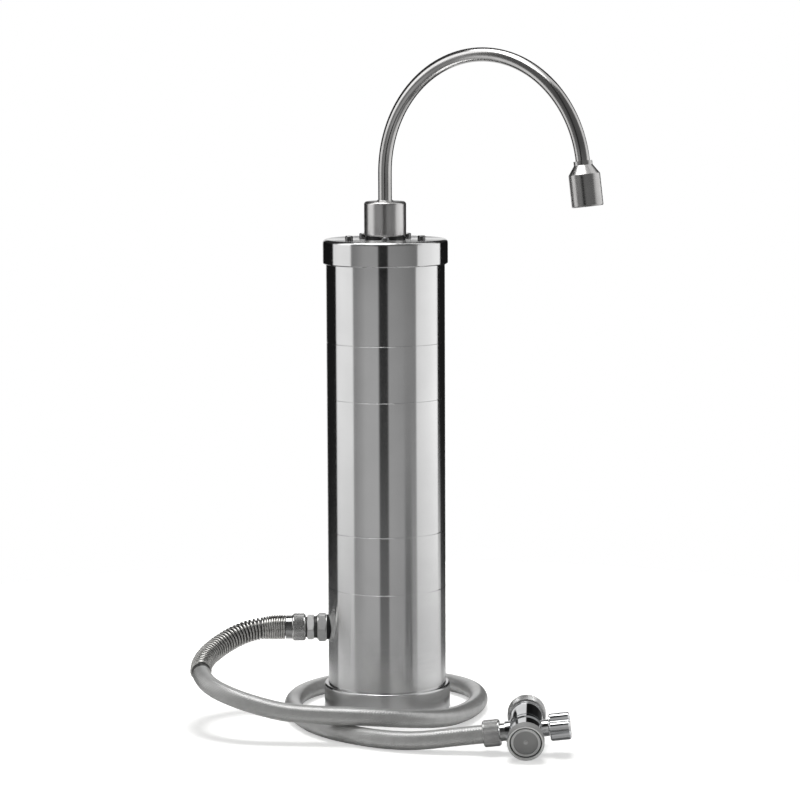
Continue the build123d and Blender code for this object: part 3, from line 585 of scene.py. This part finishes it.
FINISHES = {
    housing_steel: [
        "lower_housing",
        "lower_band",
        "middle_housing",
        "upper_band",
        "upper_housing",
        "seam_rings",
    ],
    cap_steel: ["cap"],
    plinth_steel: ["base_plinth"],
    hub_steel: ["spout_hub"],
    screw_steel_painted_shade: ["plinth_screws", "cap_screws", "spigot_clip"],
    spout_steel: ["spout_tube"],
    nozzle_steel: ["nozzle"],
    fitting_nickel: ["valve_neck", "valve_stem"],
    sleeve_nickel: ["hose_sleeve"],
    adapter_nickel: ["hose_adapter"],
    nut_nickel: ["inlet_lock_nut", "inlet_nipple"],
    hose_nut_nickel: ["hose_nut"],
    valve_nut_nickel: ["valve_hose_nut"],
    tap_nickel: ["tap_nut"],
    valve_chrome: ["valve_body", "stem_bush", "valve_knob"],
    ring_nickel: ["outlet_ring"],
    black_rubber: [
        "foot_pad",
        "cartridge_foot_ring",
        "cartridge_neck_seal",
        "cap_seal",
        "head_gasket",
        "spigot_seals",
        "nozzle_washer",
        "inlet_gasket",
        "outlet_seal",
        "tap_washer",
    ],
    white_plastic: [
        "cartridge_lower_cap",
        "cartridge_core",
        "cartridge_upper_cap",
        "head_plate",
        "hub_washer",
    ],
    grey_plastic: ["nozzle_aerator"],
    disc_plastic: ["outlet_disc"],
    # The collar's black is painted shade for the gap under the hub.
    collar_painted_shade: ["cap_collar"],
    carbon: ["cartridge_block"],
    wrap_felt: ["cartridge_wrap"],
}


def finish_nodes():
    """Gives every CAD piece its finish."""
    for material, names in FINISHES.items():
        for name in names:
            for slot in nodes[name].material_slots:
                slot.material = material


def add_piece(name, data, body, material):
    """A new piece in the scene, on its body, with its finish."""
    piece = bpy.data.objects.new(name, data)
    bpy.context.scene.collection.objects.link(piece)
    data.materials.clear()
    data.materials.append(material)
    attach(piece, body)
    return piece


def route_curve(name, points, kind):
    """A bare curve through or along points, in metres."""
    curve = bpy.data.curves.new(name, "CURVE")
    curve.dimensions = "3D"
    spline = curve.splines.new(kind)
    spline.points.add(len(points) - 1)
    for corner, point in zip(spline.points, points):
        corner.co = (*point, 1)
    if kind == "NURBS":
        spline.order_u = 3
        spline.use_endpoint_u = True
        spline.resolution_u = HOSE_STEPS
    return curve


def swept_mesh(curve, radius, sides):
    """The mesh of a round tube along a curve, and the points of the curve's own line."""
    holder = bpy.data.objects.new(curve.name, curve)
    bare = bpy.data.meshes.new_from_object(holder)
    points = [vertex.co.copy() for vertex in bare.vertices]
    curve.bevel_depth = radius
    curve.bevel_resolution = sides // 2 - 2
    curve.use_fill_caps = True
    mesh = bpy.data.meshes.new_from_object(holder)
    bpy.data.objects.remove(holder)
    for face in mesh.polygons:
        face.use_smooth = True
    return mesh, points


def running_lengths(points):
    """Length of a line from its start up to each of its points."""
    lengths = [0]
    for before, after in zip(points, points[1:]):
        lengths.append(lengths[-1] + (after - before).length)
    return lengths


def make_hose():
    """Hose on one smooth line over its route. Its map is in millimetres along and round it."""
    curve = route_curve("hose_line", [Vector(point) * MM for point in HOSE_ROUTE], "NURBS")
    mesh, points = swept_mesh(curve, HOSE_D / 2 * MM, HOSE_SIDES)
    lengths = running_lengths(points)
    for corner in mesh.uv_layers[0].data:
        ring = round(corner.uv.x * (len(points) - 1))
        corner.uv = (lengths[ring] / MM, corner.uv.y * pi * HOSE_D)
    piece = add_piece("filter_hose", mesh, "housing", hose_skin)
    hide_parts("hose")
    return piece, points


def place_along(points, lengths, distance):
    """Point and heading at a distance along a line."""
    number = next(i for i, length in enumerate(lengths[1:], 1) if length >= distance)
    before, after = points[number - 1], points[number]
    share = (distance - lengths[number - 1]) / (lengths[number] - lengths[number - 1])
    ahead = (points[min(number + 1, len(points) - 1)] - points[max(number - 2, 0)]).normalized()
    return before.lerp(after, share), ahead


def make_guard(line):
    """Bend guard: one wire wound close at the sleeve, open along the bend, and closed again at its end."""
    lengths = running_lengths(line)
    along = GUARD_START * MM
    coil_d = GUARD_FIRST_D
    turn = 0
    wire = []
    for turns, step, end_d in GUARD_STRETCHES:
        steps = turns * GUARD_STEPS_PER_TURN
        change = (end_d - coil_d) / steps
        for _ in range(steps):
            at, ahead = place_along(line, lengths, along)
            side = UP.cross(ahead).normalized()
            over = ahead.cross(side)
            coil_r = (coil_d - GUARD_WIRE_D) / 2 * MM
            wire.append(at + (over * cos(2 * pi * turn) + side * sin(2 * pi * turn)) * coil_r)
            along += step * MM / GUARD_STEPS_PER_TURN
            coil_d += change
            turn += 1 / GUARD_STEPS_PER_TURN
    curve = route_curve("guard_line", wire, "POLY")
    mesh, _ = swept_mesh(curve, GUARD_WIRE_D / 2 * MM, GUARD_WIRE_SIDES)
    piece = add_piece("hose_bend_guard", mesh, "housing", guard_wire)
    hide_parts("bend_guard")
    return piece


def measure(node, origin, axis):
    """Lowest and highest reach of a CAD piece along an axis, and its largest radius about it."""
    offsets = [vertex.co - origin for vertex in nodes[node].data.vertices]
    heights = [offset.dot(axis) for offset in offsets]
    radius = max((offset - axis * height).length for offset, height in zip(offsets, heights))
    return min(heights), max(heights), radius


def knurl_band(node, body, origin, axis, knurl, material):
    """Diamond knurl rolled round a nut: every second point of a ring of rows stands proud."""
    width, rise = knurl
    low, high, radius = measure(node, origin, axis)
    low += KNURL_MARGIN * MM
    high -= KNURL_MARGIN * MM
    rows = 2 * round((high - low) / (width * MM))
    columns = 2 * round(2 * pi * radius / (width * MM))
    step = (high - low) / rows
    band = bmesh.new()
    column = [band.verts.new((radius, 0, low + row * step)) for row in range(rows + 1)]
    edges = [band.edges.new(pair) for pair in zip(column, column[1:])]
    bmesh.ops.spin(
        band, geom=column + edges, axis=UP, cent=(0, 0, 0), angle=2 * pi, steps=columns, use_merge=True
    )
    valleys = []
    for vertex in band.verts:
        row = round((vertex.co.z - low) / step)
        place = round(atan2(vertex.co.y, vertex.co.x) / (2 * pi) * columns)
        if 0 < row < rows and (row + place) % 2:
            vertex.co.xy *= 1 + rise * MM / radius
        else:
            valleys.append(vertex)
    bmesh.ops.connect_verts(band, verts=valleys)
    rims = [edge for edge in band.edges if edge.is_boundary]
    inner = bmesh.ops.extrude_edge_only(band, edges=rims)["geom"]
    for vertex in (item for item in inner if isinstance(item, bmesh.types.BMVert)):
        vertex.co.xy *= 1 - KNURL_ROOT * MM / radius
    bmesh.ops.bridge_loops(band, edges=[item for item in inner if isinstance(item, bmesh.types.BMEdge)])
    bmesh.ops.recalc_face_normals(band, faces=band.faces)
    turn = UP.rotation_difference(axis).to_matrix().to_4x4()
    bmesh.ops.transform(band, matrix=Matrix.Translation(origin) @ turn, verts=band.verts)
    mesh = bpy.data.meshes.new(f"{node}_knurl")
    band.to_mesh(mesh)
    band.free()
    piece = add_piece(f"{node}_knurl", mesh, body, material)
    return piece


def make_knurls():
    """Knurls of the three round nuts."""
    across = Vector(joints["selector_turn"]["axis"]).normalized()
    port = Vector(joints["selector_turn"]["pos_m"])
    return [
        knurl_band("hose_nut", "housing", inlet_place, INLET_AXIS, HOSE_NUT_KNURL, hose_nut_nickel),
        knurl_band("valve_hose_nut", "housing", port, -across, VALVE_KNURL, valve_nut_nickel),
        knurl_band("tap_nut", "tap_nut", outlet_centre, outlet_axis, VALVE_KNURL, tap_nickel),
    ]


def make_camera():
    """Camera where the photograph was taken from."""
    lens = bpy.data.cameras.new("camera")
    lens.lens = CAMERA_LENS
    lens.sensor_width = CAMERA_SENSOR
    camera = bpy.data.objects.new("camera", lens)
    bpy.context.scene.collection.objects.link(camera)
    camera.matrix_world = (
        Matrix.Translation(Vector(CAMERA_PLACE) * MM)
        @ Matrix.Rotation(radians(-CAMERA_TURN), 4, "Z")
        @ Matrix.Rotation(radians(90 - CAMERA_TILT), 4, "X")
        @ Matrix.Rotation(radians(CAMERA_ROLL), 4, "Z")
    )
    bpy.context.scene.camera = camera


def stage_object(name, form, material):
    """A studio piece from a bmesh."""
    mesh = bpy.data.meshes.new(name)
    form.to_mesh(mesh)
    form.free()
    mesh.materials.append(material)
    piece = bpy.data.objects.new(name, mesh)
    bpy.context.scene.collection.objects.link(piece)
    return piece


def make_floor():
    """Round white table top. The camera sees it lifted to white, and the metal mirrors it as a grey veil that
    is darker on the camera's side."""
    material = bpy.data.materials.new("white_table")
    material.use_nodes = True
    tree = material.node_tree
    shader = tree.nodes["Principled BSDF"]
    shader.inputs["Base Color"].default_value = linear("#eeeeec")
    shader.inputs["Roughness"].default_value = FLOOR_ROUGH
    shader.inputs["Specular IOR Level"].default_value = 0
    shader.inputs["Emission Color"].default_value = linear("#ffffff")
    rays = add(tree, "ShaderNodeLightPath")
    lift = add(
        tree,
        "ShaderNodeMath",
        {"operation": "MULTIPLY"},
        {0: rays.outputs["Is Camera Ray"], 1: FLOOR_LIFT},
    )
    tree.links.new(lift.outputs[0], shader.inputs["Emission Strength"])
    place = add(tree, "ShaderNodeTexCoord")
    split = add(tree, "ShaderNodeSeparateXYZ", None, {"Vector": place.outputs["Object"]})
    level = add(
        tree,
        "ShaderNodeMapRange",
        None,
        {
            "Value": split.outputs["Y"],
            "From Min": VEIL_FRONT[0] * MM,
            "From Max": VEIL_BACK[0] * MM,
            "To Min": VEIL_FRONT[1],
            "To Max": VEIL_BACK[1],
        },
    )
    reach = add(tree, "ShaderNodeVectorMath", {"operation": "LENGTH"}, {0: place.outputs["Object"]})
    near = add(
        tree,
        "ShaderNodeMapRange",
        None,
        {"Value": reach.outputs["Value"], "From Min": VEIL_NEAR[0] * MM, "From Max": VEIL_NEAR[1] * MM},
    )
    close = add(
        tree,
        "ShaderNodeMath",
        {"operation": "MULTIPLY"},
        {0: near.outputs["Result"], 1: VEIL_NEAR_GREY},
    )
    tone = add(
        tree,
        "ShaderNodeMath",
        {"operation": "MAXIMUM"},
        {0: level.outputs["Result"], 1: close.outputs[0]},
    )
    share = add(
        tree,
        "ShaderNodeMapRange",
        None,
        {"Value": near.outputs["Result"], "To Min": VEIL_FAR_CLEAR, "To Max": VEIL_NEAR_CLEAR},
    )
    clear = add(tree, "ShaderNodeBsdfTransparent")
    grey = add(tree, "ShaderNodeBsdfDiffuse", None, {"Color": tone.outputs[0]})
    veil = add(
        tree,
        "ShaderNodeMixShader",
        None,
        {0: share.outputs["Result"], 1: grey.outputs[0], 2: clear.outputs[0]},
    )
    mixed = add(
        tree,
        "ShaderNodeMixShader",
        None,
        {0: rays.outputs["Is Glossy Ray"], 1: shader.outputs[0], 2: veil.outputs[0]},
    )
    tree.links.new(mixed.outputs[0], tree.nodes["Material Output"].inputs["Surface"])
    disc = bmesh.new()
    bmesh.ops.create_circle(disc, cap_ends=True, segments=ROUND_SIDES, radius=FLOOR_R * MM)
    stage_object("table_top", disc, material)


def glowing(name, level):
    """A material that only glows, evenly, for the metal to mirror."""
    material = bpy.data.materials.new(name)
    material.use_nodes = True
    tree = material.node_tree
    tree.nodes.remove(tree.nodes["Principled BSDF"])
    glow = add(tree, "ShaderNodeEmission", None, {"Color": linear("#ffffff"), "Strength": level})
    tree.links.new(glow.outputs[0], tree.nodes["Material Output"].inputs["Surface"])
    return material, tree, glow


def flat_form(corners):
    """A flat form with these corners."""
    form = bmesh.new()
    bmesh.ops.contextual_create(form, geom=[form.verts.new(Vector(corner) * MM) for corner in corners])
    return form


def disc_form(height):
    """A disc across the ring of cards."""
    form = bmesh.new()
    bmesh.ops.create_circle(
        form,
        cap_ends=True,
        segments=ROUND_SIDES,
        radius=CARDS_R * MM,
        matrix=Matrix.Translation((0, 0, height * MM)),
    )
    return form


def make_cards():
    """Ring of white, grey and black cards round the table, with a base and a lid and cards under the lid, all
    there for the metal to mirror."""
    material, tree, glow = glowing("studio_cards", 1)
    place = add(tree, "ShaderNodeTexCoord")
    split = add(tree, "ShaderNodeSeparateXYZ", None, {"Vector": place.outputs["Object"]})
    front = add(tree, "ShaderNodeMath", {"operation": "MULTIPLY"}, {0: split.outputs["Y"], 1: -1})
    angle = add(
        tree,
        "ShaderNodeMath",
        {"operation": "ARCTAN2"},
        {0: split.outputs["X"], 1: front.outputs[0]},
    )
    turned = add(
        tree,
        "ShaderNodeMath",
        {"operation": "MULTIPLY_ADD"},
        {0: angle.outputs[0], 1: 0.5 / pi, 2: 0.5},
    )
    level = None
    for number, (height, edges) in enumerate(CARD_BANDS):
        band = add(tree, "ShaderNodeValToRGB", None, {"Fac": turned.outputs[0]})
        fill_ramp(band, [(degrees / 360 + 0.5, brightness) for degrees, brightness in edges])
        if level is None:
            level = band.outputs["Color"]
            continue
        blend = add(
            tree,
            "ShaderNodeMapRange",
            None,
            {
                "Value": split.outputs["Z"],
                "From Min": CARD_BANDS[number - 1][0] * MM,
                "From Max": height * MM,
            },
        )
        mixed = add(
            tree,
            "ShaderNodeMix",
            None,
            {"Factor": blend.outputs["Result"], "A": level, "B": band.outputs["Color"]},
        )
        level = mixed.outputs["Result"]
    tree.links.new(level, glow.inputs["Strength"])
    ring = bmesh.new()
    bmesh.ops.create_cone(
        ring,
        segments=ROUND_SIDES,
        radius1=CARDS_R * MM,
        radius2=CARDS_R * MM,
        depth=(CARDS_HIGH - CARDS_LOW) * MM,
        matrix=Matrix.Translation((0, 0, (CARDS_HIGH + CARDS_LOW) / 2 * MM)),
    )
    cards = [
        stage_object("studio_cards", ring, material),
        stage_object("studio_base", disc_form(CARDS_LOW), glowing("base_card", BASE_LEVEL)[0]),
        stage_object("studio_lid", disc_form(CARDS_HIGH), glowing("lid_card", LID_LEVEL)[0]),
    ]
    height = CARDS_HIGH - OVERHEAD_DROP
    for number, ((left, right), (near, far), brightness) in enumerate(OVERHEAD_CARDS, 1):
        form = flat_form(
            [(left, near, height), (right, near, height), (right, far, height), (left, far, height)]
        )
        glow_card = glowing(f"overhead_card_{number}", brightness)[0]
        cards.append(stage_object(f"studio_overhead_{number}", form, glow_card))
    for card in cards:
        card.visible_camera = False
        card.visible_diffuse = False
        card.visible_transmission = False
        card.visible_shadow = False


def make_light():
    """White surroundings, and one large soft lamp above the filter."""
    world = bpy.data.worlds.new("white_studio")
    world.use_nodes = True
    bpy.context.scene.world = world
    tree = world.node_tree
    tree.nodes.clear()
    rays = add(tree, "ShaderNodeLightPath")
    seen = add(
        tree,
        "ShaderNodeMath",
        {"operation": "MAXIMUM"},
        {0: rays.outputs["Is Camera Ray"], 1: rays.outputs["Is Glossy Ray"]},
    )
    seen = add(
        tree,
        "ShaderNodeMath",
        {"operation": "MAXIMUM"},
        {0: seen.outputs[0], 1: rays.outputs["Is Transmission Ray"]},
    )
    level = add(
        tree,
        "ShaderNodeMapRange",
        None,
        {"Value": seen.outputs[0], "To Min": SKY_LEVEL, "To Max": 1},
    )
    sky = add(
        tree,
        "ShaderNodeBackground",
        None,
        {"Color": linear("#ffffff"), "Strength": level.outputs["Result"]},
    )
    end = add(tree, "ShaderNodeOutputWorld")
    tree.links.new(sky.outputs[0], end.inputs["Surface"])
    lamp = bpy.data.lights.new("overhead_softbox", "AREA")
    lamp.shape = "RECTANGLE"
    lamp.size, lamp.size_y = [length * MM for length in LAMP_SIZE]
    lamp.energy = LAMP_WATTS
    holder = bpy.data.objects.new("overhead_softbox", lamp)
    holder.location = Vector(LAMP_PLACE) * MM
    holder.visible_glossy = False
    bpy.context.scene.collection.objects.link(holder)


make_camera()
finish_nodes()
hose, hose_points = make_hose()
guard = make_guard(hose_points)
knurls = make_knurls()
make_floor()
make_cards()
make_light()
bpy.context.scene.view_settings.view_transform = "Standard"
